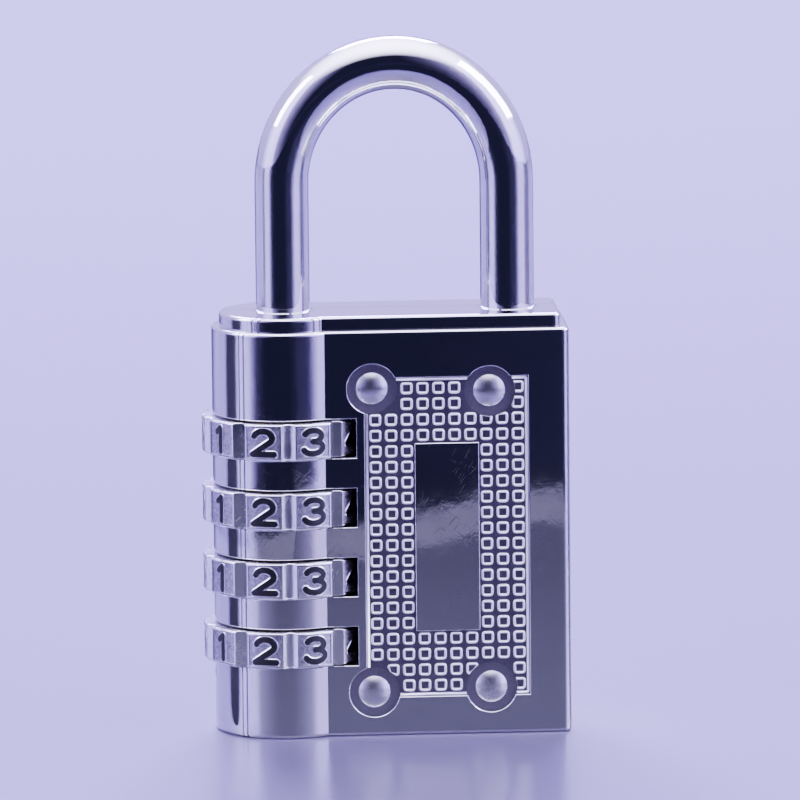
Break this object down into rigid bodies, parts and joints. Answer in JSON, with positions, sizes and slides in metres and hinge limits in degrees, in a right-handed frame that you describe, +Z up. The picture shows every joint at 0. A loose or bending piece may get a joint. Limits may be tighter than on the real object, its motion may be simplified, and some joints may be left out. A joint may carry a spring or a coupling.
{
  "type": "combination padlock",
  "caption": "Chromed combination padlock: numbered dials on a column beside a flat riveted case with a grid-relief front panel, and a round-wire shackle that lifts through the dials.",
  "frame": {"origin": "centre of the bounding box, at the level the case stands on", "axes": "+Z up along the shackle's legs, -Y out of the panelled front, -X towards the dials"},
  "size_m": [0.0374, 0.0168, 0.0714],
  "materials": {
    "case_chrome": "chrome-plated zinc die casting, polished, lightly scratched",
    "shackle_chrome": "chrome-plated steel wire, polished",
    "dial_chrome": "chrome-plated zinc with black-painted digits on recessed fields",
    "rivet_steel": "plated steel, domed and smooth",
    "sleeve_brass": "machined brass",
    "spring_steel": "bright spring steel",
    "washer_steel": "stamped steel"
  },
  "bodies": {
    "case": {"front_shell": "case_chrome", "rear_shell": "case_chrome", "rivets": "rivet_steel", "reset_spring": "spring_steel", "thrust_washer": "washer_steel", "shackle_spring": "spring_steel", "detent_spring_1": "spring_steel", "detent_spring_2": "spring_steel", "detent_spring_3": "spring_steel", "detent_spring_4": "spring_steel"},
    "shackle": {"shackle": "shackle_chrome", "stop_clip": "spring_steel"},
    "dial_1": {"dial_1": "dial_chrome", "code_sleeve_1": "sleeve_brass"},
    "dial_2": {"dial_2": "dial_chrome", "code_sleeve_2": "sleeve_brass"},
    "dial_3": {"dial_3": "dial_chrome", "code_sleeve_3": "sleeve_brass"},
    "dial_4": {"dial_4": "dial_chrome", "code_sleeve_4": "sleeve_brass"}
  },
  "joints": [
    {"name": "shackle_lift", "type": "slide", "parent": "case", "child": "shackle", "axis": [0, 0, 1], "range_m": [0, 0.00717], "deforming": ["shackle_spring"]},
    {"name": "dial_1_spin", "type": "hinge", "parent": "case", "child": "dial_1", "pos_m": [-0.01022, 0, 0.03085], "axis": [0, 0, 1], "continuous": true, "deforming": ["detent_spring_1"]},
    {"name": "dial_2_spin", "type": "hinge", "parent": "case", "child": "dial_2", "pos_m": [-0.01022, 0, 0.02368], "axis": [0, 0, 1], "continuous": true, "deforming": ["detent_spring_2"]},
    {"name": "dial_3_spin", "type": "hinge", "parent": "case", "child": "dial_3", "pos_m": [-0.01022, 0, 0.01651], "axis": [0, 0, 1], "continuous": true, "deforming": ["detent_spring_3"]},
    {"name": "dial_4_spin", "type": "hinge", "parent": "case", "child": "dial_4", "pos_m": [-0.01022, 0, 0.00934], "axis": [0, 0, 1], "continuous": true, "deforming": ["detent_spring_4"]}
  ]
}
